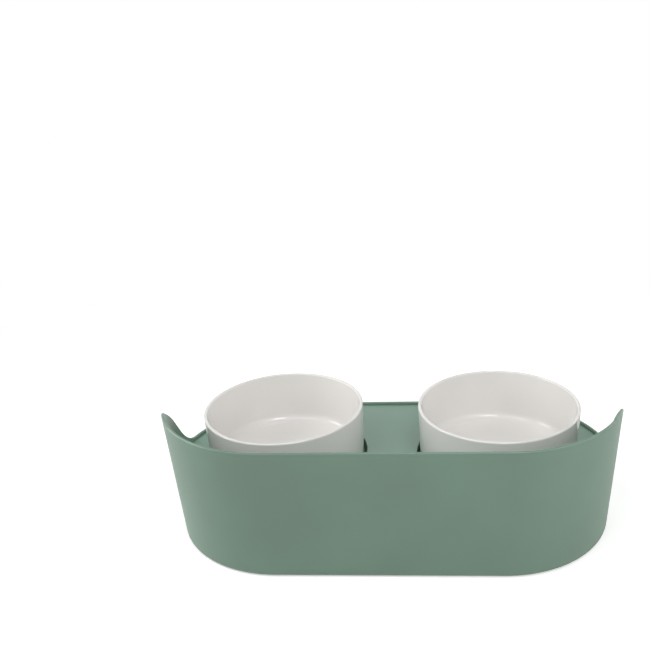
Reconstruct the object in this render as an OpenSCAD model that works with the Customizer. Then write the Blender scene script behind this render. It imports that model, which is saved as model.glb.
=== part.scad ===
// Double pet bowl: two ceramic bowls that lift out of a low stand, which is a
// drafted tub with a tall guard wall and a deck tray dropped into it.
// Millimetres, +Z up, +X to the right when facing the tall wall, origin on the
// floor under the middle of the whole object.

/* [Tub] */
// Room past a bowl's rim to the end of the tub's base outline
end_room = 26; // [18:0.2:40]
// Depth of the tub's base outline, whose two ends are half circles
base_depth = 183.4; // [176:0.2:200]
// Angle at which the walls lean out, in degrees
wall_draft = 2.5; // [1:0.1:5]
// Thickness of the tub's walls
wall = 2.4; // [2:0.2:4]
// Thickness of the tub's floor
floor_t = 3; // [2.4:0.2:5]
// Rounding of the tub's bottom edge
base_edge_r = 2; // [1:0.5:4]
// Rounding inside, where the walls meet the floor
floor_fillet = 5; // [2:0.5:10]
// Height of the tall front rim over the tub's underside
front_h = 110.1; // [100:0.1:125]
// How far the rim rises over the front rim at the two ears
ear_rise = 0.4; // [0:0.2:8]
// Height of the low back rim over the tub's underside
back_h = 55.3; // [48:0.1:70]

/* [Deck tray] */
// Drop from the back rim to the deck
deck_drop = 2.4; // [1:0.2:6]
// Thickness of the deck
deck_t = 2.6; // [2:0.2:4]
// Rounding of the deck's outer edge
deck_edge_r = 0.4; // [0.3:0.1:1.2]
// Gap all round between the tray and the tub's wall
deck_gap = 0.3; // [0.2:0.1:1]
// Height of the tray's turned-down skirt
skirt_h = 9; // [5:0.5:14]
// Thickness of the skirt and of the stiffening ribs
skirt_t = 2.2; // [1.6:0.2:3]
// Depth of the ribs below the deck
rib_h = 6; // [3:0.5:8]
// Depth of the pockets that hold the bowls
pocket_depth = 9; // [6:0.5:14]
// Thickness of the pocket walls and floors
pocket_t = 2.4; // [1.8:0.2:4]
// Rounding of the pocket's mouth
pocket_edge_r = 0.8; // [0.4:0.1:1.6]
// Rounding inside the pocket, where its wall meets its floor
pocket_fillet = 3; // [1:0.5:4]
// Radial gap between a bowl and the mouth of its pocket
pocket_gap = 2.7; // [1:0.1:5]
// Distance between the bowls' centres
bowl_spacing = 175.5; // [150:0.5:200]
// How far the bowls stand behind the middle of the base
bowl_setback = 3.8; // [0:0.2:8]

/* [Bowls] */
// Outer diameter of a bowl at its rim
bowl_rim_d = 130; // [116:1:132]
// Height of a bowl
bowl_h = 53.7; // [47:0.1:62]
// Angle at which a bowl's outside leans out, in degrees
bowl_draft = 1.5; // [1:0.1:4]
// Angle at which a bowl's inside leans out, in degrees
bowl_inner_draft = 2.6; // [1.8:0.1:5]
// Wall thickness at a bowl's rounded rim
bowl_wall = 2.7; // [2.4:0.1:5]
// Thickness of a bowl's floor
bowl_floor_t = 6; // [4:0.2:8]
// Outer rounding at the foot of a bowl's wall
bowl_corner_r = 6; // [3:0.5:9]
// Inner rounding between a bowl's wall and its floor
bowl_fillet = 7; // [4:0.5:20]
// How far the unglazed ring that a bowl stands on lies inside its rim
foot_ring_inset = 13; // [10:0.5:25]
// Width of that ring
foot_ring_w = 4; // [3:0.5:6]
// Height of that ring
foot_ring_h = 3; // [1.2:0.2:4]

/* [Feet and screws] */
// Diameter of a rubber foot
foot_d = 16; // [12:0.5:22]
// Thickness of a rubber foot
foot_h = 3; // [2.4:0.1:4]
// Depth of the recess that a foot is stuck into
foot_recess = 1.5; // [1:0.1:1.8]
// Rounding of a foot's lower edge
foot_edge_r = 0.8; // [0.4:0.1:1]
// Diameter of a screw's shank
screw_d = 3; // [2.5:0.1:4]
// Length of a screw's shank
screw_length = 12; // [8:1:20]
// Diameter of a screw's head
screw_head_d = 6; // [5:0.2:7]
// Height of a screw's head
screw_head_h = 2.2; // [1.6:0.1:3]
// Width of the cross slot in a screw's head
screw_slot_w = 0.9; // [0.6:0.1:1.2]
// Diameter of the posts under the tray
post_d = 8; // [6.5:0.5:10]
// Height of the screw wells over the tub's floor
well_h = 5; // [3:0.5:8]
// Material left over the screw head in its well
well_land = 2; // [1.2:0.2:3]

/* [Clearances] */
// Radial clearance round a foot, a screw head and a shank in its well
fit_gap = 0.3; // [0.1:0.1:0.5]
// Radial clearance round a shank in its post
thread_gap = 0.05; // [0.02:0.01:0.1]

/* [Hidden] */

// How far every cutter runs past what it cuts
overrun = 1;
// Steps in each quarter circle of the outline, and in a quarter of a rounding
arc_steps = 32;
round_steps = 4;
turn_steps = 8;
$fn = 96;

base_length = bowl_spacing + bowl_rim_d + 2 * end_room;
half_l = base_length / 2;
half_d = base_depth / 2;
flare = tan(wall_draft);
// Distance of the centre of each round end from the middle
end_x = half_l - half_d;
stand_lift = foot_h - foot_recess;
deck_z = back_h - deck_drop;
well_top = floor_t + well_h;

// The walls reach further out at the tall front than at the low back, so the
// outline is set back to keep the origin under the middle of the whole object.
front_reach = half_d + flare * (front_h - wall / 2);
back_reach = half_d + flare * (back_h - wall / 2);
stand_y = (front_reach - back_reach) / 2;

// The rim's side profile. The rise to the ear starts at the first share of the
// half depth; each row after it is a place on the half depth, a height on the
// drop from the ear to the back rim, and the slope there, all as shares.
ear_start_share = -0.6;
ear_shares = [
    [-0.4, 1, 0],
    [-0.25, 0.909, -1.12],
    [-0.01, 0.556, -2.41],
    [0.074, 0.336, -2.66],
    [0.32, 0, 0]
];

// Places on the half length and half depth
foot_shares = [0.69, 0.62];
post_shares = [
    [-0.2, 0.81], [0.2, 0.81],
    [-0.2, -0.66], [0.2, -0.66],
    [-0.85, -0.46], [0.85, -0.46]
];

bowl_rim_r = bowl_rim_d / 2;
bowl_seat_z = deck_z - pocket_depth;
bowl_out = tan(bowl_draft);
bowl_in = tan(bowl_inner_draft);
// Radius of a bowl's outside where it passes the deck
bowl_deck_r = bowl_rim_r - bowl_out * (bowl_h - pocket_depth);
pocket_r = bowl_deck_r + pocket_gap;

function ease(t) = t * t * (3 - 2 * t);

// A cubic between two rows of [place, height, slope]
function blend(a, b, y) =
    let (w = b[0] - a[0], t = (y - a[0]) / w, u = 1 - t)
    a[1] * u * u * (1 + 2 * t) + b[1] * t * t * (3 - 2 * t) + w * t * u * (a[2] * u - b[2] * t);

// Height of the rim as a share of the drop from the ear to the back rim
function ear_share(y, i = 0) =
    i > len(ear_shares) - 2 ? 0 :
    y < ear_shares[i + 1][0] ? blend(ear_shares[i], ear_shares[i + 1], y) :
    ear_share(y, i + 1);

// Height of the rim over a point of the base outline, from its depth
function rim_h(y) =
    let (share = y / half_d, top = ear_shares[0][0])
    share < ear_start_share ? front_h :
    share < top ? front_h + ear_rise * ease((share - ear_start_share) / (top - ear_start_share)) :
    back_h + (front_h + ear_rise - back_h) * ear_share(share);

// Stations round the base outline: a point and the outward direction there
function end_arc(side) = [
    for (i = [0:2 * arc_steps])
    let (a = 90 * (i / arc_steps - side))
    [side * end_x + half_d * cos(a), half_d * sin(a), cos(a), sin(a)]
];
plan = concat(end_arc(1), end_arc(-1));

// Points of a rounding, as [out, up] from its centre
function rounding(out, up, r, from, to, steps) = [
    for (i = [0:steps])
    let (a = from + (to - from) * i / steps)
    [out + r * cos(a), up + r * sin(a)]
];

// Leans the points of a wall section out with the draft
function drafted(points) = [for (p = points) [p[0] + flare * p[1], p[1]]];

// Section through the tub's wall at a rim height: up the outside, over the
// rounded rim, down the inside and onto the floor
function tub_section(h) = drafted(concat(
    rounding(-base_edge_r, base_edge_r, base_edge_r, 270, 360, round_steps),
    rounding(-wall / 2, h - wall / 2, wall / 2, 0, 180, 2 * round_steps),
    rounding(-wall - floor_fillet, floor_t + floor_fillet, floor_fillet, 0, -90, round_steps)
));

// Section through the tray's edge, from its underside round the skirt to the deck
function tray_section() =
    let (edge = -wall - deck_gap)
    drafted(concat(
        [[edge - skirt_t, deck_z - deck_t], [edge - skirt_t, deck_z - skirt_h], [edge, deck_z - skirt_h]],
        rounding(edge - deck_edge_r, deck_z - deck_edge_r, deck_edge_r, 0, 90, round_steps)
    ));

// A closed solid swept from one section at every station of the outline, with
// each end of the sections closed by a fan about its middle
module swept(sections) {
    n = len(plan);
    m = len(sections[0]);
    points = [
        for (k = [0:m - 1], i = [0:n - 1])
        let (p = plan[i], s = sections[i][k])
        [p[0] + s[0] * p[2], p[1] + s[0] * p[3], s[1]]
    ];
    middles = [for (k = [0, m - 1]) [0, 0, sections[0][k][1]]];
    sides = [
        for (k = [0:m - 2], i = [0:n - 1], half = [0, 1])
        let (j = (i + 1) % n, a = k * n + i, b = k * n + j, c = a + n, d = b + n)
        half == 0 ? [a, c, b] : [b, c, d]
    ];
    first_cap = [for (i = [0:n - 1]) [m * n, i, (i + 1) % n]];
    last_cap = [for (i = [0:n - 1]) [m * n + 1, (m - 1) * n + (i + 1) % n, (m - 1) * n + i]];
    polyhedron(concat(points, middles), concat(sides, first_cap, last_cap));
}

module in_stand() {
    translate([0, stand_y, stand_lift]) children();
}

module at_posts() {
    for (p = post_shares) translate([p[0] * half_l, p[1] * half_d, 0]) children();
}

module at_bowl(side) {
    translate([side * bowl_spacing / 2, bowl_setback, 0]) children();
}

module at_foot(side_x, side_y) {
    translate([side_x * foot_shares[0] * half_l, side_y * foot_shares[1] * half_d, 0]) children();
}

module foot_recesses() {
    for (sx = [-1, 1], sy = [-1, 1]) at_foot(sx, sy)
        translate([0, 0, -overrun]) cylinder(h = foot_recess + overrun, r = foot_d / 2 + fit_gap);
}

// Hole for one screw from below: a well for the head and a way for the shank
module screw_well() {
    head = screw_head_d / 2 + fit_gap;
    shank = screw_d / 2 + fit_gap;
    land_z = well_top - well_land;
    top = well_top + overrun;
    rotate_extrude() polygon([[0, -overrun], [head, -overrun], [head, land_z], [shank, land_z], [shank, top], [0, top]]);
}

module stand_tub() {
    well_r = screw_head_d / 2 + fit_gap + well_land;
    color([0.47, 0.58, 0.52]) in_stand() difference() {
        union() {
            difference() {
                swept([for (p = plan) tub_section(rim_h(p[1]))]);
                foot_recesses();
            }
            at_posts() translate([0, 0, floor_t / 2]) cylinder(h = well_top - floor_t / 2, r = well_r);
        }
        at_posts() screw_well();
    }
}

// The space of one pocket, with its rounded mouth
module pocket_space() {
    mouth = pocket_r + pocket_edge_r;
    lip = rounding(mouth, deck_z - pocket_edge_r, pocket_edge_r, 180, 90, round_steps);
    foot = rounding(pocket_r - pocket_fillet, bowl_seat_z + pocket_fillet, pocket_fillet, 270, 360, round_steps);
    top = deck_z + overrun;
    rotate_extrude() polygon(concat([[0, bowl_seat_z]], foot, lip, [[mouth, top], [0, top]]));
}

module tray_ribs() {
    front_y = post_shares[2][1] * half_d;
    back_y = post_shares[0][1] * half_d;
    side_x = post_shares[1][0] * half_l;
    rib_z = deck_z - rib_h;
    for (y = [front_y, back_y])
        translate([-side_x, y - skirt_t / 2, rib_z]) cube([2 * side_x, skirt_t, rib_h - deck_t / 2]);
    translate([-skirt_t / 2, front_y, rib_z]) cube([skirt_t, back_y - front_y, rib_h - deck_t / 2]);
}

module deck_tray() {
    cup_bottom = bowl_seat_z - pocket_t;
    color([0.53, 0.62, 0.57]) in_stand() difference() {
        union() {
            swept([for (p = plan) tray_section()]);
            for (side = [-1, 1]) at_bowl(side)
                translate([0, 0, cup_bottom]) cylinder(h = deck_z - deck_t / 2 - cup_bottom, r = pocket_r + pocket_t);
            at_posts() translate([0, 0, well_top]) cylinder(h = deck_z - deck_t / 2 - well_top, r = post_d / 2);
            tray_ribs();
        }
        for (side = [-1, 1]) at_bowl(side) pocket_space();
        at_posts() translate([0, 0, well_top - overrun])
            cylinder(h = screw_length + overrun, r = screw_d / 2 + thread_gap);
    }
}

module bowl(side) {
    ring_r = bowl_rim_r - foot_ring_inset;
    corner_z = foot_ring_h + bowl_corner_r;
    floor_z = foot_ring_h + bowl_floor_t;
    corner_out = bowl_rim_r - bowl_out * (bowl_h - corner_z) - bowl_corner_r;
    fillet_z = floor_z + bowl_fillet;
    fillet_out = bowl_rim_r - bowl_wall - bowl_in * (bowl_h - fillet_z) - bowl_fillet;
    outline = concat(
        [[0, foot_ring_h], [ring_r - foot_ring_w, foot_ring_h], [ring_r - foot_ring_w, 0],
         [ring_r, 0], [ring_r, foot_ring_h]],
        rounding(corner_out, corner_z, bowl_corner_r, 270, 360, turn_steps),
        rounding(bowl_rim_r - bowl_wall / 2, bowl_h - bowl_wall / 2, bowl_wall / 2, 0, 180, turn_steps),
        rounding(fillet_out, fillet_z, bowl_fillet, 360, 270, turn_steps),
        [[0, floor_z]]
    );
    color([0.93, 0.93, 0.91]) in_stand() at_bowl(side)
        translate([0, 0, bowl_seat_z]) rotate_extrude() polygon(outline);
}

module foot(side_x, side_y) {
    r = foot_d / 2;
    edge = rounding(r - foot_edge_r, foot_edge_r, foot_edge_r, 270, 360, round_steps);
    color([0.2, 0.22, 0.21]) in_stand() at_foot(side_x, side_y)
        translate([0, 0, -stand_lift]) rotate_extrude() polygon(concat([[0, 0]], edge, [[r, foot_h], [0, foot_h]]));
}

// One pan-head screw, its head seated in the well
module tray_screw() {
    seat_z = well_top - well_land;
    slot_l = screw_head_d - 2 * screw_slot_w;
    difference() {
        union() {
            translate([0, 0, seat_z - screw_head_h]) cylinder(h = screw_head_h, r = screw_head_d / 2);
            translate([0, 0, seat_z - screw_head_h / 2]) cylinder(h = screw_head_h / 2 + screw_length, r = screw_d / 2);
        }
        for (turn = [0, 90]) rotate(turn)
            translate([-slot_l / 2, -screw_slot_w / 2, seat_z - screw_head_h - overrun])
            cube([slot_l, screw_slot_w, screw_head_h / 2 + overrun]);
    }
}

module tray_screws() {
    color([0.7, 0.71, 0.72]) in_stand() at_posts() tray_screw();
}

stand_tub();
deck_tray();
bowl(-1);  // left_bowl
bowl(1);  // right_bowl
foot(-1, -1);  // front_left_foot
foot(1, -1);  // front_right_foot
foot(-1, 1);  // back_left_foot
foot(1, 1);  // back_right_foot
tray_screws();
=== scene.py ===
"""Looks of a double pet bowl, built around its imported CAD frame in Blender 4.5."""
import logging
import math
from dataclasses import dataclass
from enum import Enum
from typing import Any, Callable, NamedTuple, Sequence

import bmesh
import bpy
from mathutils import Matrix, Vector


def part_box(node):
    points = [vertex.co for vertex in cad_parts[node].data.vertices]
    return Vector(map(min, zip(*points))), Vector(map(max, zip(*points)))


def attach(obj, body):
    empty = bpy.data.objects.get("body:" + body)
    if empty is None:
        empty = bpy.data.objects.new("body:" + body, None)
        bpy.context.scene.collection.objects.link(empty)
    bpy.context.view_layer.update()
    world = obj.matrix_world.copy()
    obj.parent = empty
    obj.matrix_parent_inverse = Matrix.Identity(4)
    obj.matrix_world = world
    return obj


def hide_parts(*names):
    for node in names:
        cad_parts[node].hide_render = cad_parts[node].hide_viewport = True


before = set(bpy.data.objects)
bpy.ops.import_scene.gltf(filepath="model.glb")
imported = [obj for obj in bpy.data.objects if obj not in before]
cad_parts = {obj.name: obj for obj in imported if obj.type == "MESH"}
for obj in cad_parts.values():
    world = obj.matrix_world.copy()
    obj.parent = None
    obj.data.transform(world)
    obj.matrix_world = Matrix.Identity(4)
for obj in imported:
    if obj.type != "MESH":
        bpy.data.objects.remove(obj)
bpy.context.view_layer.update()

LOG = logging.getLogger("double_pet_bowl")

MM = 0.001
# Millimetres that a cutting tool reaches past the face that it opens.
OVERCUT = 1.0
# The part of a noise in which nearly all of its values lie.
MIDDLE = {"From Min": 0.3, "From Max": 0.7}
# A mix node's sockets share their names, so they are told apart by number: the
# colours and their mix, then the plain values and theirs.
COLOUR_A, COLOUR_B, COLOUR_MIX = 6, 7, 2
VALUE_A, VALUE_B, VALUE_MIX = 2, 3, 0

Point = tuple[float, float]
Profile = list[Point]
Colour = tuple[float, float, float, float]


class Slot(Enum):
    """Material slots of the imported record."""

    TUB = "tub_plastic"
    TRAY = "tray_plastic"
    GLAZE = "bowl_glaze"
    RUBBER = "foot_rubber"
    STEEL = "screw_steel"


class Body(Enum):
    """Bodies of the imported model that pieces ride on."""

    STAND = "stand"
    LEFT_BOWL = "left_bowl"
    RIGHT_BOWL = "right_bowl"


class Operation(Enum):
    """What a boolean does with its cutting or joining tool."""

    CUT = "DIFFERENCE"
    JOIN = "UNION"


class Station(NamedTuple):
    """A place on the stand's base outline and the outward direction there."""

    x: float
    y: float
    out_x: float
    out_y: float


class Pattern(NamedTuple):
    """Soft noise on a finish, whose blotches have a real size."""

    size_mm: float
    detail: float


class Relief(NamedTuple):
    """How deep a pattern is moulded into a surface, and how much of it shows."""

    depth_mm: float
    strength: float


# Helpers


def linear(hex_colour: str) -> Colour:
    """Turns an sRGB hex colour into linear RGBA.

    Args:
        hex_colour: Six hex digits after a hash sign.

    Returns:
        Linear red, green, blue and an alpha of 1.
    """
    shares = (int(hex_colour[i : i + 2], 16) / 255 for i in (1, 3, 5))
    red, green, blue = (
        c / 12.92 if c <= 0.04045 else ((c + 0.055) / 1.055) ** 2.4 for c in shares
    )
    return (red, green, blue, 1.0)


def add_node(
    tree: bpy.types.NodeTree, kind: str, settings: dict[str | int, Any] | None = None
) -> bpy.types.Node:
    """Adds a shader node with its settings and incoming links.

    Args:
        tree: Node tree that gets the node.
        kind: Blender's type name of the node.
        settings: Values by attribute name, or by input name or number. A value
            that is another node's output is linked to the input.

    Returns:
        The new node.
    """
    node = tree.nodes.new(kind)
    for key, value in (settings or {}).items():
        if isinstance(value, bpy.types.NodeSocket):
            tree.links.new(value, node.inputs[key])
        elif isinstance(key, str) and hasattr(node, key):
            setattr(node, key, value)
        else:
            node.inputs[key].default_value = value
    return node


def rounding(centre: Point, radius: float, start: float, end: float, steps: int) -> Profile:
    """Points of an arc in a section, as (outward, up) in millimetres.

    Args:
        centre: Centre of the arc.
        radius: Radius of the arc.
        start: First angle in degrees.
        end: Last angle in degrees.
        steps: Number of steps between the two.

    Returns:
        The points, both ends included.
    """
    angles = (math.radians(start + (end - start) * i / steps) for i in range(steps + 1))
    return [(centre[0] + radius * math.cos(a), centre[1] + radius * math.sin(a)) for a in angles]


def straight(start: Point, end: Point, steps: int) -> Profile:
    """Points between two points of a section, without the ends.

    Args:
        start: First point.
        end: Last point.
        steps: Number of equal steps between them.

    Returns:
        The points between.
    """
    run, rise = end[0] - start[0], end[1] - start[1]
    return [(start[0] + run * i / steps, start[1] + rise * i / steps) for i in range(1, steps)]


def ease(share: float) -> float:
    """Smooth step from 0 to 1 over a share."""
    return share * share * (3 - 2 * share)


def bridge(bm: bmesh.types.BMesh, rings: Sequence[Sequence[bmesh.types.BMVert]]) -> None:
    """Joins closed rings of equally many vertices with quads.

    Args:
        bm: Mesh under construction.
        rings: Rings in order, each going the same way round.
    """
    for low, high in zip(rings, rings[1:]):
        count = len(low)
        for i in range(count):
            j = (i + 1) % count
            bm.faces.new((low[i], low[j], high[j], high[i]))


def ring_edges(
    bm: bmesh.types.BMesh, ring: Sequence[bmesh.types.BMVert]
) -> list[bmesh.types.BMEdge]:
    """Finds the edges along a closed ring of vertices, and makes the missing ones.

    Args:
        bm: Mesh under construction.
        ring: The vertices in order.

    Returns:
        The edges in order.
    """
    edges = []
    for a, b in zip(ring, [*ring[1:], ring[0]]):
        edges.append(bm.edges.get((a, b)) or bm.edges.new((a, b)))
    return edges


def circle(
    bm: bmesh.types.BMesh, centre: Vector, radius: float, z: float, steps: int
) -> list[bmesh.types.BMVert]:
    """Adds a level ring of vertices.

    Args:
        bm: Mesh under construction.
        centre: Axis of the ring, in metres.
        radius: Radius in millimetres.
        z: Height over the centre in millimetres.
        steps: Number of vertices.

    Returns:
        The vertices in order, counterclockwise from above.
    """
    ring = []
    for i in range(steps):
        a = 2 * math.pi * i / steps
        offset = Vector((radius * math.cos(a), radius * math.sin(a), z)) * MM
        ring.append(bm.verts.new(centre + offset))
    return ring


def add_lathe(bm: bmesh.types.BMesh, profile: Profile, centre: Vector, steps: int) -> None:
    """Adds a closed turned solid to a mesh.

    Args:
        bm: Mesh under construction.
        profile: (radius, height) pairs in millimetres; both ends lie on the axis.
        centre: Foot of the axis, in metres.
        steps: Facets round the axis.
    """
    rings = [circle(bm, centre, r, z, steps) for r, z in profile if r > 0]
    bridge(bm, rings)
    for ring, (_, z) in ((rings[0], profile[0]), (rings[-1], profile[-1])):
        hub = bm.verts.new(centre + Vector((0, 0, z)) * MM)
        for a, b in zip(ring, [*ring[1:], ring[0]]):
            bm.faces.new((hub, a, b))


def to_object(name: str, bm: bmesh.types.BMesh) -> bpy.types.Object:
    """Turns a finished bmesh into a linked object with outward faces.

    Args:
        name: Name of the piece.
        bm: The mesh, which is freed.

    Returns:
        The new object.
    """
    bmesh.ops.recalc_face_normals(bm, faces=bm.faces)
    mesh = bpy.data.meshes.new(name)
    bm.to_mesh(mesh)
    bm.free()
    piece = bpy.data.objects.new(name, mesh)
    bpy.context.scene.collection.objects.link(piece)
    return piece


def lathes(name: str, profile: Profile, centres: Sequence[Vector], steps: int) -> bpy.types.Object:
    """Makes one object of equal turned solids.

    Args:
        name: Name of the object.
        profile: Section of each solid.
        centres: Foot of each axis, in metres.
        steps: Facets round each axis.

    Returns:
        The object.
    """
    bm = bmesh.new()
    for centre in centres:
        add_lathe(bm, profile, centre, steps)
    return to_object(name, bm)


def combine(
    piece: bpy.types.Object,
    tool: bpy.types.Object,
    operation: Operation,
    tool_overlaps: bool = False,
) -> None:
    """Applies one exact boolean to a piece and removes the tool.

    Args:
        piece: Object that is changed.
        tool: Object that is cut away or joined on.
        operation: What is done with the tool.
        tool_overlaps: Whether solids of the tool run through one another.
    """
    modifier = piece.modifiers.new("combine", "BOOLEAN")
    modifier.operation = operation.value
    modifier.solver = "EXACT"
    modifier.use_self = tool_overlaps
    modifier.object = tool
    bpy.context.view_layer.update()
    solved = piece.evaluated_get(bpy.context.evaluated_depsgraph_get())
    mesh = bpy.data.meshes.new_from_object(solved)
    piece.modifiers.remove(modifier)
    old = piece.data
    piece.data = mesh
    bpy.data.meshes.remove(old)
    bpy.data.objects.remove(tool, do_unlink=True)


def shade(piece: bpy.types.Object, sharp_deg: float = 32.0) -> None:
    """Shades a piece smooth, with crisp edges and flat faces kept flat.

    Args:
        piece: Object to shade.
        sharp_deg: Edges with a larger angle stay sharp.
    """
    piece.data.shade_smooth()
    piece.data.set_sharp_from_angle(angle=math.radians(sharp_deg))
    weighted = piece.modifiers.new("even_normals", "WEIGHTED_NORMAL")
    weighted.mode = "FACE_AREA"
    weighted.keep_sharp = True


def place(piece: bpy.types.Object, material: bpy.types.Material, body: Body, slot: Slot) -> None:
    """Dresses a piece and makes it ride on its body.

    Args:
        piece: Object in place.
        material: Its finish.
        body: CAD body it moves with.
        slot: Record slot that the finish belongs to. Not used.
    """
    piece.data.materials.clear()
    piece.data.materials.append(material)
    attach(piece, body.value)
    LOG.info("%s: %d faces on %s", piece.name, len(piece.data.polygons), body.value)


# Finishes


def close(
    tree: bpy.types.NodeTree,
    settings: dict[str, Any],
    bumps: Sequence[tuple[bpy.types.NodeSocket, Relief]],
) -> None:
    """Ends a material with its bumps, its shader and its output.

    Args:
        tree: Node tree of the material.
        settings: Constants and patterns on the shader's own sockets.
        bumps: Pattern and relief of each bump, the broad one first.
    """
    normal: dict[str, Any] = {}
    for height, relief in bumps:
        shape = {"Distance": relief.depth_mm * MM, "Strength": relief.strength, "Height": height}
        bump = add_node(tree, "ShaderNodeBump", {**shape, **normal})
        normal = {"Normal": bump.outputs["Normal"]}
    shader = add_node(tree, "ShaderNodeBsdfPrincipled", {**settings, **normal})
    add_node(tree, "ShaderNodeOutputMaterial", {"Surface": shader.outputs["BSDF"]})


@dataclass(frozen=True)
class Finish:
    """What every finish shares: a name, two tones and the start of its nodes."""

    name: str
    colour: str
    second_colour: str

    def start(
        self, *patterns: Pattern
    ) -> tuple[
        bpy.types.Material, bpy.types.NodeTree, bpy.types.NodeSocket, list[bpy.types.NodeSocket]
    ]:
        """Makes an empty material and lays its patterns over the piece.

        Args:
            patterns: Patterns of the finish.

        Returns:
            The material, its node tree, the piece's own coordinates, and a value
            from 0 to 1 for each pattern.
        """
        material = bpy.data.materials.new(self.name)
        material.use_nodes = True
        tree = material.node_tree
        tree.nodes.clear()
        where = add_node(tree, "ShaderNodeTexCoord").outputs["Object"]
        values = []
        for size_mm, detail in patterns:
            settings = {"Scale": 1 / (size_mm * MM), "Detail": detail, "Vector": where}
            values.append(add_node(tree, "ShaderNodeTexNoise", settings).outputs["Fac"])
        return material, tree, where, values

    def tone(
        self, tree: bpy.types.NodeTree, pattern: bpy.types.NodeSocket
    ) -> bpy.types.NodeSocket:
        """Lets the colour drift between the two tones with a pattern.

        Args:
            tree: Node tree of the material.
            pattern: Value of the pattern.

        Returns:
            The colour.
        """
        share = add_node(tree, "ShaderNodeMapRange", {**MIDDLE, "Value": pattern})
        tones = {COLOUR_A: linear(self.colour), COLOUR_B: linear(self.second_colour)}
        drift = {"data_type": "RGBA", 0: share.outputs["Result"], **tones}
        return add_node(tree, "ShaderNodeMix", drift).outputs[COLOUR_MIX]


@dataclass(frozen=True)
class SparkedPlastic(Finish):
    """Sage ABS, injection moulded against a spark-eroded steel wall.

    To the eye: an even, soft green with a satin sheen that spreads highlights
    wide, a barely visible grain, and a slow drift of tone from the melt flow.
    """

    roughness_low: float = 0.29
    roughness_high: float = 0.37
    flow: Pattern = Pattern(55.0, 2.0)
    flow_relief: Relief = Relief(0.08, 0.6)
    # The real grain is about 0.3 mm, too fine for the render, so it is drawn
    # three times as coarse, just large enough to break up the highlights.
    grain: Pattern = Pattern(0.9, 3.0)
    grain_relief: Relief = Relief(0.05, 0.35)
    # ABS has about 1.53. The object's rims and grazing sides shine a little more.
    ior: float = 1.6

    def material(self) -> bpy.types.Material:
        """Builds the material.

        Returns:
            The material.
        """
        material, tree, _, (flow, grain) = self.start(self.flow, self.grain)
        low, high = self.roughness_low, self.roughness_high
        gloss = add_node(
            tree, "ShaderNodeMapRange", {**MIDDLE, "To Min": low, "To Max": high, "Value": grain}
        ).outputs["Result"]
        close(
            tree,
            {"IOR": self.ior, "Base Color": self.tone(tree, flow), "Roughness": gloss},
            [(flow, self.flow_relief), (grain, self.grain_relief)],
        )
        return material


@dataclass(frozen=True)
class DippedGlaze(Finish):
    """White stoneware glaze, dipped and fired over a pale clay body.

    To the eye: a clean warm white with clear, slightly rippled reflections, and
    a bare matte clay ring below, where the bowl stood in the kiln.
    """

    clay_colour: str
    clay_top_m: float
    roughness_low: float = 0.05
    roughness_high: float = 0.09
    clay_roughness: float = 0.88
    ripple: Pattern = Pattern(14.0, 1.0)
    ripple_relief: Relief = Relief(0.05, 0.3)
    speck: Pattern = Pattern(1.2, 3.0)
    speck_relief: Relief = Relief(0.01, 0.2)
    pool: Pattern = Pattern(60.0, 1.0)
    # The lower edge of the glaze wanders up and down and fades over a short way.
    edge: Pattern = Pattern(5.0, 1.0)
    wander_mm: float = 0.25
    dip_line_mm: float = 0.5
    ior: float = 1.52

    def material(self) -> bpy.types.Material:
        """Builds the material.

        Returns:
            The material.
        """
        patterns = (self.ripple, self.speck, self.edge, self.pool)
        material, tree, where, (ripple, speck, edge, pool) = self.start(*patterns)
        height = add_node(tree, "ShaderNodeSeparateXYZ", {"Vector": where}).outputs["Z"]
        sway = self.wander_mm * MM
        wander = add_node(
            tree, "ShaderNodeMapRange", {**MIDDLE, "To Min": -sway, "To Max": sway, "Value": edge}
        ).outputs["Result"]
        line = add_node(tree, "ShaderNodeMath", {"operation": "ADD", 0: height, 1: wander})
        glazed = add_node(
            tree,
            "ShaderNodeMapRange",
            {
                "interpolation_type": "SMOOTHSTEP",
                "From Min": self.clay_top_m,
                "From Max": self.clay_top_m + self.dip_line_mm * MM,
                "Value": line.outputs[0],
            },
        ).outputs["Result"]
        clay, white = linear(self.clay_colour), self.tone(tree, pool)
        colour = add_node(
            tree,
            "ShaderNodeMix",
            {"data_type": "RGBA", 0: glazed, COLOUR_A: clay, COLOUR_B: white},
        ).outputs[COLOUR_MIX]
        low, high = self.roughness_low, self.roughness_high
        sheen = add_node(
            tree, "ShaderNodeMapRange", {**MIDDLE, "To Min": low, "To Max": high, "Value": ripple}
        ).outputs["Result"]
        gloss = add_node(
            tree, "ShaderNodeMix", {0: glazed, VALUE_A: self.clay_roughness, VALUE_B: sheen}
        ).outputs[VALUE_MIX]
        close(
            tree,
            {"IOR": self.ior, "Base Color": colour, "Roughness": gloss},
            [(ripple, self.ripple_relief), (speck, self.speck_relief)],
        )
        return material


@dataclass(frozen=True)
class MouldedRubber(Finish):
    """Dark thermoplastic rubber, moulded in a blasted tool.

    To the eye: nearly black, matte, with a dusty tone where it was handled.
    """

    roughness_low: float = 0.68
    roughness_high: float = 0.85
    dust: Pattern = Pattern(6.0, 3.0)
    grain: Pattern = Pattern(0.7, 2.0)
    grain_relief: Relief = Relief(0.06, 0.5)
    ior: float = 1.5

    def material(self) -> bpy.types.Material:
        """Builds the material.

        Returns:
            The material.
        """
        material, tree, _, (dust, grain) = self.start(self.dust, self.grain)
        low, high = self.roughness_low, self.roughness_high
        gloss = add_node(
            tree, "ShaderNodeMapRange", {**MIDDLE, "To Min": low, "To Max": high, "Value": dust}
        ).outputs["Result"]
        close(
            tree,
            {"IOR": self.ior, "Base Color": self.tone(tree, dust), "Roughness": gloss},
            [(grain, self.grain_relief)],
        )
        return material


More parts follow.
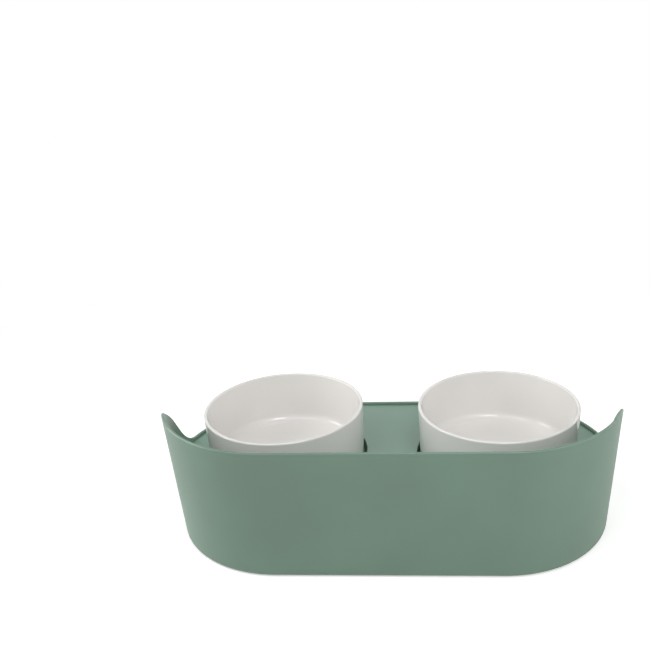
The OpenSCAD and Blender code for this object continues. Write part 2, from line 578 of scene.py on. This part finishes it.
@dataclass(frozen=True)
class ZincPlate(Finish):
    """Steel screws, cold headed and bright zinc plated.

    To the eye: a cool grey metal with a slightly cloudy shine.
    """

    roughness_low: float = 0.24
    roughness_high: float = 0.4
    cloud: Pattern = Pattern(1.5, 2.0)
    cloud_relief: Relief = Relief(0.02, 0.3)

    def material(self) -> bpy.types.Material:
        """Builds the material.

        Returns:
            The material.
        """
        material, tree, _, (cloud,) = self.start(self.cloud)
        low, high = self.roughness_low, self.roughness_high
        gloss = add_node(
            tree, "ShaderNodeMapRange", {**MIDDLE, "To Min": low, "To Max": high, "Value": cloud}
        ).outputs["Result"]
        close(
            tree,
            {"Metallic": 1.0, "Base Color": self.tone(tree, cloud), "Roughness": gloss},
            [(cloud, self.cloud_relief)],
        )
        return material


# The stand


@dataclass
class StandOutline:
    """Base outline, draft and rim line that the tub and the deck tray share.

    Sizes are in millimetres, and heights start at the tub's underside.
    """

    base_length: float = 357.5
    base_depth: float = 183.4
    draft_deg: float = 2.5
    front_height: float = 110.1
    ear_rise: float = 0.4
    back_height: float = 55.3
    # Where the rim starts to rise to the ear, as a share of the half depth.
    ear_start: float = -0.6
    # The S from the ear to the back: place as a share of the half depth, height
    # as a share of the whole drop, and slope of the one against the other.
    ear_rows: tuple[tuple[float, float, float], ...] = (
        (-0.4, 1.0, 0.0),
        (-0.25, 0.909, -1.12),
        (-0.01, 0.556, -2.41),
        (0.074, 0.336, -2.66),
        (0.32, 0.0, 0.0),
    )
    arc_steps: int = 64

    def __post_init__(self) -> None:
        """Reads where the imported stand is, so that pieces land on it."""
        low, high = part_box("deck_tray")
        self.origin = Vector(((low.x + high.x) / 2, (low.y + high.y) / 2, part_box("stand_tub")[0].z))
        self.half_depth = self.base_depth / 2
        self.half_length = self.base_length / 2
        self.end_x = self.half_length - self.half_depth
        self.flare = math.tan(math.radians(self.draft_deg))

    def stations(self) -> list[Station]:
        """Finds the places round the outline.

        Returns:
            The places, counterclockwise from the front right.
        """
        found = []
        for side in (1, -1):
            for i in range(2 * self.arc_steps + 1):
                a = math.radians(90 * (i / self.arc_steps - side))
                out_x, out_y = math.cos(a), math.sin(a)
                x, y = side * self.end_x + self.half_depth * out_x, self.half_depth * out_y
                found.append(Station(x, y, out_x, out_y))
        return found

    def rim_height(self, y: float) -> float:
        """Height of the rim over the tub's underside.

        Args:
            y: Depth on the base outline, negative at the tall front.

        Returns:
            The height in millimetres.
        """
        share = y / self.half_depth
        top = self.ear_rows[0][0]
        if share < self.ear_start:
            return self.front_height
        if share < top:
            rise = ease((share - self.ear_start) / (top - self.ear_start))
            return self.front_height + self.ear_rise * rise
        drop = self.front_height + self.ear_rise - self.back_height
        for low, high in zip(self.ear_rows, self.ear_rows[1:]):
            if share < high[0]:
                width = high[0] - low[0]
                t = (share - low[0]) / width
                u = 1 - t
                part = (
                    low[1] * u * u * (1 + 2 * t)
                    + high[1] * t * t * (3 - 2 * t)
                    + width * t * u * (low[2] * u - high[2] * t)
                )
                return self.back_height + drop * part
        return self.back_height

    def point(self, x: float, y: float, z: float) -> Vector:
        """Turns millimetres from the middle of the tub's underside into the frame."""
        return self.origin + Vector((x, y, z)) * MM

    def rings(
        self, bm: bmesh.types.BMesh, section: Callable[[float], Profile]
    ) -> list[list[bmesh.types.BMVert]]:
        """Sweeps a section round the outline, leaning out with the draft.

        Args:
            bm: Mesh under construction.
            section: Gives the (outward, up) section at a rim height.

        Returns:
            One closed ring of vertices for each point of the section.
        """
        columns = []
        for s in self.stations():
            column = []
            for out, up in section(self.rim_height(s.y)):
                reach = out + self.flare * up
                spot = self.point(s.x + reach * s.out_x, s.y + reach * s.out_y, up)
                column.append(bm.verts.new(spot))
            columns.append(column)
        return [list(ring) for ring in zip(*columns)]


@dataclass
class StandTub:
    """The moulded tub: floor, drafted wall and wavy full-round rim."""

    outline: StandOutline
    wall: float = 2.4
    floor: float = 3.0
    base_edge: float = 2.0
    floor_fillet: float = 5.0
    foot_radius: float = 8.3
    foot_depth: float = 1.5
    # Places of feet and posts, as shares of the half length and the half depth.
    foot_shares: tuple[float, float] = (0.69, 0.62)
    well_top: float = 8.0
    well_land: float = 2.0
    head_radius: float = 3.3
    shank_radius: float = 1.8
    boss_radius: float = 5.3
    post_shares: tuple[tuple[float, float], ...] = (
        (-0.2, 0.81),
        (0.2, 0.81),
        (-0.2, -0.66),
        (0.2, -0.66),
        (-0.85, -0.46),
        (0.85, -0.46),
    )
    gate_radius: float = 5.0
    gate_depth: float = 0.6
    gate_slope: float = 0.4
    stub_radius: float = 1.3
    stub_taper: float = 0.2
    stub_depth: float = 0.2
    stub_dome: float = 0.05
    edge_steps: int = 8
    wall_steps: int = 12
    rim_steps: int = 16
    inner_steps: int = 8
    fillet_steps: int = 6
    recess_steps: int = 72
    well_steps: int = 48

    def section(self, height: float) -> Profile:
        """Draws the section of the wall at one place of the outline.

        Args:
            height: Height of the rim there.

        Returns:
            The section from the underside, over the rim, to the inner floor.
        """
        r = self.wall / 2
        edge, fillet = self.base_edge, self.floor_fillet
        rim_z = height - r
        inner_foot = (-self.wall, self.floor + fillet)
        return [
            *rounding((-edge, edge), edge, 270, 360, self.edge_steps),
            *straight((0, edge), (0, rim_z), self.wall_steps),
            *rounding((-r, rim_z), r, 0, 180, self.rim_steps),
            *straight((-self.wall, rim_z), inner_foot, self.inner_steps),
            *rounding((inner_foot[0] - fillet, inner_foot[1]), fillet, 0, -90, self.fillet_steps),
        ]

    def posts(self, z: float) -> list[Vector]:
        """Axes of the six screw posts at a height."""
        o = self.outline
        return [o.point(x * o.half_length, y * o.half_depth, z) for x, y in self.post_shares]

    def feet(self, z: float) -> dict[str, Vector]:
        """Finds the axes of the four feet.

        Args:
            z: Height over the tub's underside.

        Returns:
            The points on the axes, by node name.
        """
        o = self.outline
        x, y = self.foot_shares[0] * o.half_length, self.foot_shares[1] * o.half_depth
        return {
            "front_left_foot": o.point(-x, -y, z),
            "front_right_foot": o.point(x, -y, z),
            "back_left_foot": o.point(-x, y, z),
            "back_right_foot": o.point(x, y, z),
        }

    def build(self, material: bpy.types.Material) -> bpy.types.Object:
        """Builds the tub and puts it in the place of its CAD node.

        Args:
            material: Its finish.

        Returns:
            The piece.
        """
        bm = bmesh.new()
        rings = self.outline.rings(bm, self.section)
        bridge(bm, rings)
        bm.faces.new(rings[0])
        bm.faces.new(rings[-1])
        tub = to_object("tub_shell", bm)
        boss_foot = self.floor / 2
        recess = [
            (0, -OVERCUT),
            (self.foot_radius, -OVERCUT),
            (self.foot_radius, self.foot_depth),
            (0, self.foot_depth),
        ]
        feet = list(self.feet(0).values())
        combine(tub, lathes("recesses", recess, feet, self.recess_steps), Operation.CUT)
        gate = [
            (0, -OVERCUT),
            (self.gate_radius, -OVERCUT),
            (self.gate_radius - self.gate_slope, self.gate_depth),
            (self.stub_radius, self.gate_depth),
            (self.stub_radius - self.stub_taper, self.stub_depth + self.stub_dome),
            (0, self.stub_depth),
        ]
        middle = [self.outline.point(0, 0, 0)]
        combine(tub, lathes("gate", gate, middle, self.well_steps), Operation.CUT)
        boss = [
            (0, boss_foot),
            (self.boss_radius, boss_foot),
            (self.boss_radius, self.well_top),
            (0, self.well_top),
        ]
        posts = self.posts(0)
        combine(tub, lathes("bosses", boss, posts, self.well_steps), Operation.JOIN)
        land = self.well_top - self.well_land
        well = [
            (0, -OVERCUT),
            (self.head_radius, -OVERCUT),
            (self.head_radius, land),
            (self.shank_radius, land),
            (self.shank_radius, self.well_top + OVERCUT),
            (0, self.well_top + OVERCUT),
        ]
        combine(tub, lathes("wells", well, posts, self.well_steps), Operation.CUT)
        shade(tub)
        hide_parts("stand_tub")
        place(tub, material, Body.STAND, Slot.TUB)
        return tub


@dataclass
class DeckTray:
    """The moulded deck dropped into the tub, with two pockets for the bowls."""

    outline: StandOutline
    tub: StandTub
    bowl_x: float
    bowl_y: float
    drop: float = 2.4
    thickness: float = 2.6
    edge: float = 0.4
    gap: float = 0.3
    skirt_height: float = 9.0
    skirt_thickness: float = 2.2
    rib_height: float = 6.0
    pocket_depth: float = 9.0
    pocket_radius: float = 66.53
    pocket_thickness: float = 2.4
    mouth_edge: float = 0.8
    pocket_fillet: float = 3.0
    post_radius: float = 4.0
    pilot_radius: float = 1.55
    pilot_depth: float = 12.0
    edge_steps: int = 6
    turn_steps: int = 160
    post_steps: int = 40
    pilot_steps: int = 24

    @property
    def top(self) -> float:
        """Height of the deck over the tub's underside."""
        return self.outline.back_height - self.drop

    @property
    def seat(self) -> float:
        """Height of the pocket floors over the tub's underside."""
        return self.top - self.pocket_depth

    def section(self, _height: float) -> Profile:
        """Draws the section of the skirt, the same at every place of the outline.

        Args:
            _height: Height of the rim there, which the skirt doesn't follow.

        Returns:
            The section from the deck's underside round to its top.
        """
        out = -self.tub.wall - self.gap
        inner = out - self.skirt_thickness
        foot = self.top - self.skirt_height
        return [
            (inner, self.top - self.thickness),
            (inner, foot),
            (out, foot),
            *rounding(
                (out - self.edge, self.top - self.edge), self.edge, 0, 90, self.edge_steps
            ),
        ]

    def pocket(self, bm: bmesh.types.BMesh, centre: Vector) -> tuple[list, list]:
        """Adds one cup-shaped pocket.

        Args:
            bm: Mesh under construction.
            centre: Axis of the pocket at the tub's underside, in metres.

        Returns:
            The ring at the deck's top and the ring at its underside.
        """
        edge, fillet = self.mouth_edge, self.pocket_fillet
        mouth = (self.pocket_radius + edge, self.top - edge)
        corner = (self.pocket_radius - fillet, self.seat + fillet)
        inside = [
            *rounding(mouth, edge, 90, 180, self.edge_steps),
            *rounding(corner, fillet, 360, 270, self.edge_steps),
        ]
        outer = self.pocket_radius + self.pocket_thickness
        bottom = self.seat - self.pocket_thickness
        outside = [(outer, self.top - self.thickness), (outer, bottom)]
        ends = []
        for profile in (inside, outside):
            rings = [circle(bm, centre, r, z, self.turn_steps) for r, z in profile]
            bridge(bm, rings)
            bm.faces.new(rings[-1])
            ends.append(rings[0])
        return ends[0], ends[1]

    def stiffeners(self) -> bpy.types.Object:
        """Makes the screw posts and the ribs under the deck.

        Returns:
            All of them as one tool object.
        """
        o = self.outline
        top = self.top - self.thickness / 2
        low = self.tub.well_top
        bm = bmesh.new()
        post = [(0, low), (self.post_radius, low), (self.post_radius, top), (0, top)]
        for centre in self.tub.posts(0):
            add_lathe(bm, post, centre, self.post_steps)
        side_x = self.tub.post_shares[1][0] * o.half_length
        front_y = self.tub.post_shares[2][1] * o.half_depth
        back_y = self.tub.post_shares[0][1] * o.half_depth
        half = self.skirt_thickness / 2
        rib_z = self.top - self.rib_height
        for x0, x1, y0, y1 in (
            (-side_x, side_x, front_y - half, front_y + half),
            (-side_x, side_x, back_y - half, back_y + half),
            (-half, half, front_y, back_y),
        ):
            lo, hi = o.point(x0, y0, rib_z), o.point(x1, y1, top)
            matrix = Matrix.Translation((lo + hi) / 2) @ Matrix.Diagonal((*(hi - lo), 1.0))
            bmesh.ops.create_cube(bm, size=1.0, matrix=matrix)
        return to_object("stiffeners", bm)

    def build(self, material: bpy.types.Material) -> bpy.types.Object:
        """Builds the tray and puts it in the place of its CAD node.

        Args:
            material: Its finish.

        Returns:
            The piece.
        """
        bm = bmesh.new()
        rings = self.outline.rings(bm, self.section)
        bridge(bm, rings)
        tops, unders = [rings[-1]], [rings[0]]
        for side in (-1, 1):
            centre = self.outline.point(side * self.bowl_x, self.bowl_y, 0)
            top_ring, under_ring = self.pocket(bm, centre)
            tops.append(top_ring)
            unders.append(under_ring)
        for loops, up in ((tops, 1.0), (unders, -1.0)):
            edges = [e for loop in loops for e in ring_edges(bm, loop)]
            bmesh.ops.triangle_fill(bm, use_beauty=True, edges=edges, normal=(0, 0, up))
        tray = to_object("deck_panel", bm)
        combine(tray, self.stiffeners(), Operation.JOIN, tool_overlaps=True)
        low, high = self.tub.well_top - OVERCUT, self.tub.well_top + self.pilot_depth
        pilot = [(0, low), (self.pilot_radius, low), (self.pilot_radius, high), (0, high)]
        posts = self.tub.posts(0)
        combine(tray, lathes("pilots", pilot, posts, self.pilot_steps), Operation.CUT)
        shade(tray)
        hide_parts("deck_tray")
        place(tray, material, Body.STAND, Slot.TRAY)
        return tray


# Loose pieces


@dataclass
class CeramicBowl:
    """A round glazed bowl that stands loose in its pocket."""

    body: Body
    rim_radius: float = 65.0
    height: float = 53.7
    draft_deg: float = 1.5
    inner_draft_deg: float = 2.6
    wall: float = 2.7
    floor: float = 6.0
    corner: float = 6.0
    fillet: float = 7.0
    ring_inset: float = 13.0
    ring_width: float = 4.0
    ring_height: float = 3.0
    ring_edge: float = 0.6
    clay_top: float = 2.2
    ring_steps: int = 4
    corner_steps: int = 10
    wall_steps: int = 8
    rim_steps: int = 16
    inner_steps: int = 6
    fillet_steps: int = 16
    turn_steps: int = 192

    def __post_init__(self) -> None:
        """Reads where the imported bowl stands."""
        low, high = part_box(self.body.value)
        self.origin = Vector(((low.x + high.x) / 2, (low.y + high.y) / 2, low.z))

    def profile(self) -> Profile:
        """Draws the section of the bowl.

        Returns:
            The section from the middle of the underside, over the rim, to the
            middle of the floor inside.
        """
        out = math.tan(math.radians(self.draft_deg))
        inside = math.tan(math.radians(self.inner_draft_deg))
        ring_r = self.rim_radius - self.ring_inset
        ring_in = ring_r - self.ring_width
        base = self.ring_height
        corner_z = base + self.corner
        floor_z = base + self.floor
        corner_r = self.rim_radius - out * (self.height - corner_z) - self.corner
        fillet_z = floor_z + self.fillet
        mouth_r = self.rim_radius - self.wall
        fillet_r = mouth_r - inside * (self.height - fillet_z) - self.fillet
        half = self.wall / 2
        rim = (self.rim_radius - half, self.height - half)
        soft = self.ring_edge
        outer_foot = (corner_r + self.corner, corner_z)
        inner_foot = (fillet_r + self.fillet, fillet_z)
        return [
            (0, base),
            (ring_in, base),
            *rounding((ring_in + soft, soft), soft, 180, 270, self.ring_steps),
            *rounding((ring_r - soft, soft), soft, 270, 360, self.ring_steps),
            (ring_r, base),
            *rounding((corner_r, corner_z), self.corner, 270, 360, self.corner_steps),
            *straight(outer_foot, (self.rim_radius, rim[1]), self.wall_steps),
            *rounding(rim, half, 0, 180, self.rim_steps),
            *straight((mouth_r, rim[1]), inner_foot, self.inner_steps),
            *rounding((fillet_r, fillet_z), self.fillet, 360, 270, self.fillet_steps),
            (0, floor_z),
        ]

    def build(self, material: bpy.types.Material) -> bpy.types.Object:
        """Builds the bowl and puts it in the place of its CAD node.

        Args:
            material: Its finish.

        Returns:
            The piece.
        """
        name = f"{self.body.value}_ceramic"
        bowl = lathes(name, self.profile(), [self.origin], self.turn_steps)
        shade(bowl)
        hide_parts(self.body.value)
        place(bowl, material, self.body, Slot.GLAZE)
        return bowl


@dataclass
class RubberFeet:
    """Four stuck-on feet with ring grooves in their soles."""

    tub: StandTub
    radius: float = 8.0
    height: float = 3.0
    edge: float = 0.8
    groove_depth: float = 0.45
    groove_width: float = 0.7
    groove_radii: tuple[float, ...] = (2.6, 4.9)
    edge_steps: int = 6
    turn_steps: int = 64

    def profile(self) -> Profile:
        """Draws the section of a foot.

        Returns:
            The section from the middle of the sole to the middle of the top.
        """
        points: Profile = [(0, 0)]
        for r in self.groove_radii:
            half = self.groove_width / 2
            points += [
                (r - half, 0),
                (r - half / 2, self.groove_depth),
                (r + half / 2, self.groove_depth),
                (r + half, 0),
            ]
        corner = (self.radius - self.edge, self.edge)
        points += rounding(corner, self.edge, 270, 360, self.edge_steps)
        return [*points, (self.radius, self.height), (0, self.height)]

    def build(self, material: bpy.types.Material) -> None:
        """Builds the feet, each in the place of its CAD node.

        Args:
            material: Their finish.
        """
        for node, centre in self.tub.feet(0).items():
            centre.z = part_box(node)[0].z
            foot = lathes(f"{node}_pad", self.profile(), [centre], self.turn_steps)
            shade(foot)
            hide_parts(node)
            place(foot, material, Body.STAND, Slot.RUBBER)


# The studio


@dataclass(frozen=True)
class Softbox:
    """A square studio lamp that faces the object."""

    name: str
    place: tuple[float, float, float]
    watts: float
    size: float = 0.8
    target: tuple[float, float, float] = (0.0, 0.0, 0.06)

    def hang(self) -> None:
        """Hangs the lamp and turns it to its target."""
        data = bpy.data.lights.new(self.name, "AREA")
        data.shape = "SQUARE"
        data.size = self.size
        data.energy = self.watts
        lamp = bpy.data.objects.new(self.name, data)
        bpy.context.scene.collection.objects.link(lamp)
        lamp.location = self.place
        aim = Vector(self.target) - Vector(self.place)
        lamp.rotation_euler = aim.to_track_quat("-Z", "Y").to_euler()


@dataclass(frozen=True)
class PhotoCamera:
    """The photograph's camera, solved from the object's known outlines."""

    focal_px: float = 764.33
    centre_px: tuple[float, float] = (382.19, 373.15)
    frame_px: tuple[int, int] = (650, 651)
    yaw_deg: float = -4.219
    pitch_deg: float = 24.316
    roll_deg: float = 2.478
    place_mm: tuple[float, float, float] = (35.716, -553.714, 378.131)
    sensor_mm: float = 36.0
    clip_m: tuple[float, float] = (0.01, 30.0)

    def aim(self, outline: StandOutline) -> None:
        """Makes the camera and gives it to the scene.

        Args:
            outline: The stand's outline, from whose middle the place is measured.
        """
        degrees = (self.yaw_deg, self.pitch_deg, self.roll_deg)
        yaw, pitch, roll = (math.radians(a) for a in degrees)
        level = math.cos(pitch)
        ahead = Vector((math.sin(yaw) * level, math.cos(yaw) * level, -math.sin(pitch)))
        right = Vector((math.cos(yaw), -math.sin(yaw), 0.0))
        down = ahead.cross(right)
        x_axis = math.cos(roll) * right + math.sin(roll) * down
        y_axis = math.sin(roll) * right - math.cos(roll) * down
        turn = Matrix((x_axis, y_axis, -ahead)).transposed().to_4x4()
        data = bpy.data.cameras.new("photo_camera")
        wide, high = self.frame_px
        longest = max(wide, high)
        data.sensor_width = self.sensor_mm
        data.lens = self.focal_px / longest * self.sensor_mm
        data.shift_x = (wide / 2 - self.centre_px[0]) / longest
        data.shift_y = (self.centre_px[1] - high / 2) / longest
        data.clip_start, data.clip_end = self.clip_m
        camera = bpy.data.objects.new("photo_camera", data)
        bpy.context.scene.collection.objects.link(camera)
        camera.matrix_world = Matrix.Translation(outline.point(*self.place_mm)) @ turn
        bpy.context.scene.camera = camera


@dataclass(frozen=True)
class Studio:
    """White studio: pale floor, soft lamps and a white background."""

    floor_size: float = 6.0
    floor_colour: str = "#e4e4e3"
    # How much the paper glows where it is seen, so that only the shadow shows.
    floor_lift: float = 0.45
    # Distances from the middle between which the paper fades to plain white.
    fade_start: float = 0.32
    fade_end: float = 0.75
    # The glaze reflects a surround that is far from white.
    mirror_strength: float = 0.33
    softboxes: tuple[Softbox, ...] = (
        Softbox("front_key_box", (0.31, -0.85, 1.13), 7.4, 0.5),
        Softbox("left_key_box", (-1.15, 0.0, 0.86), 3.8, 0.5),
        Softbox("left_low_box", (-1.36, 0.12, 0.35), 5.6),
        Softbox("front_left_low_box", (-1.29, -0.47, 0.35), 3.4),
        Softbox("front_left_box", (-0.5, -0.6, 1.25), 5.2),
        Softbox("near_right_box", (0.75, -0.45, 0.22), 3.7),
        Softbox("back_right_box", (1.19, 0.68, 0.35), 4.8),
        Softbox("back_left_box", (-1.19, 0.68, 0.35), 2.2),
        Softbox("back_low_left_box", (-0.56, 1.19, 0.5), 1.1),
        Softbox("back_low_box", (0.0, 1.37, 0.35), 0.9),
        Softbox("back_low_right_box", (0.56, 1.19, 0.5), 0.8),
        Softbox("back_box", (0.0, 0.99, 1.05), 2.6),
        Softbox("top_box", (0.0, 0.0, 1.46), 0.5),
    )

    def floor(self) -> None:
        """Lays the floor: it takes the shadow and fades to white further out."""
        bm = bmesh.new()
        bmesh.ops.create_grid(bm, x_segments=1, y_segments=1, size=self.floor_size / 2)
        floor = to_object("studio_floor", bm)
        material = bpy.data.materials.new("studio_paper")
        material.use_nodes = True
        tree = material.node_tree
        tree.nodes.clear()
        seen = add_node(tree, "ShaderNodeLightPath").outputs["Is Camera Ray"]
        where = add_node(tree, "ShaderNodeTexCoord").outputs["Object"]
        reach = add_node(tree, "ShaderNodeVectorMath", {"operation": "LENGTH", 0: where})
        far = add_node(
            tree,
            "ShaderNodeMapRange",
            {
                "interpolation_type": "SMOOTHSTEP",
                "From Min": self.fade_start,
                "From Max": self.fade_end,
                "Value": reach.outputs["Value"],
            },
        ).outputs["Result"]
        paper = add_node(tree, "ShaderNodeBsdfDiffuse", {"Color": linear(self.floor_colour)})
        product = {"operation": "MULTIPLY", 0: seen}
        lift = add_node(tree, "ShaderNodeMath", {**product, 1: self.floor_lift}).outputs[0]
        glow = add_node(tree, "ShaderNodeEmission", {"Strength": lift}).outputs[0]
        near = add_node(tree, "ShaderNodeAddShader", {0: paper.outputs[0], 1: glow}).outputs[0]
        white = add_node(tree, "ShaderNodeEmission", {"Strength": 1.0}).outputs[0]
        away = add_node(tree, "ShaderNodeMath", {**product, 1: far}).outputs[0]
        both = add_node(tree, "ShaderNodeMixShader", {0: away, 1: near, 2: white})
        add_node(tree, "ShaderNodeOutputMaterial", {"Surface": both.outputs[0]})
        floor.data.materials.append(material)

    def sky(self) -> None:
        """Makes the world: plain white where it is seen, and dimmer in reflections."""
        world = bpy.data.worlds.new("studio_white")
        bpy.context.scene.world = world
        world.use_nodes = True
        tree = world.node_tree
        tree.nodes.clear()
        ray = add_node(tree, "ShaderNodeLightPath").outputs
        seen = add_node(
            tree,
            "ShaderNodeMath",
            {"operation": "ADD", 0: ray["Is Camera Ray"], 1: ray["Is Transmission Ray"]},
        ).outputs[0]
        strength = add_node(
            tree,
            "ShaderNodeMath",
            {
                "operation": "MULTIPLY_ADD",
                0: ray["Is Glossy Ray"],
                1: self.mirror_strength,
                2: seen,
            },
        ).outputs[0]
        white = {"Color": (1.0, 1.0, 1.0, 1.0), "Strength": strength}
        background = add_node(tree, "ShaderNodeBackground", white)
        add_node(tree, "ShaderNodeOutputWorld", {"Surface": background.outputs[0]})

    def build(self) -> None:
        """Builds the whole studio."""
        self.floor()
        self.sky()
        for softbox in self.softboxes:
            softbox.hang()
        bpy.context.scene.view_settings.view_transform = "Standard"


# Assembly


def main() -> None:
    """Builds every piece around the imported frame."""
    logging.basicConfig(level=logging.INFO, format="%(name)s %(message)s")
    outline = StandOutline()
    PhotoCamera().aim(outline)
    Studio().build()

    tub_plastic = SparkedPlastic("sage_abs_tub", "#6e8b7a", "#6c8676").material()
    # The tray is the tub's own plastic, but its colour is painted a little lighter: painted light for
    # the extra light that falls on the up-facing deck.
    tray_plastic = SparkedPlastic("sage_abs_tray_painted_lighter", "#729381", "#6e8f7e").material()
    rubber = MouldedRubber("black_rubber", "#2c2e2f", "#45484a").material()
    zinc = ZincPlate("bright_zinc", "#c3c6c8", "#a4a8ab").material()

    left, right = CeramicBowl(Body.LEFT_BOWL), CeramicBowl(Body.RIGHT_BOWL)
    clay_top_m = left.origin.z + left.clay_top * MM
    glaze = DippedGlaze("white_glaze", "#e9e7e4", "#e5e3e0", "#cbbca6", clay_top_m).material()
    tub = StandTub(outline)
    tub.build(tub_plastic)
    middle = (left.origin + right.origin) / 2 - outline.origin
    bowl_x = (right.origin.x - left.origin.x) / 2
    DeckTray(outline, tub, bowl_x / MM, middle.y / MM).build(tray_plastic)
    for bowl in (left, right):
        bowl.build(glaze)
    RubberFeet(tub).build(rubber)

    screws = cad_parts["tray_screws"]
    screws.data.materials.clear()
    screws.data.materials.append(zinc)
    LOG.info("tray_screws keeps its CAD mesh")


if __name__ == "__main__":
    main()
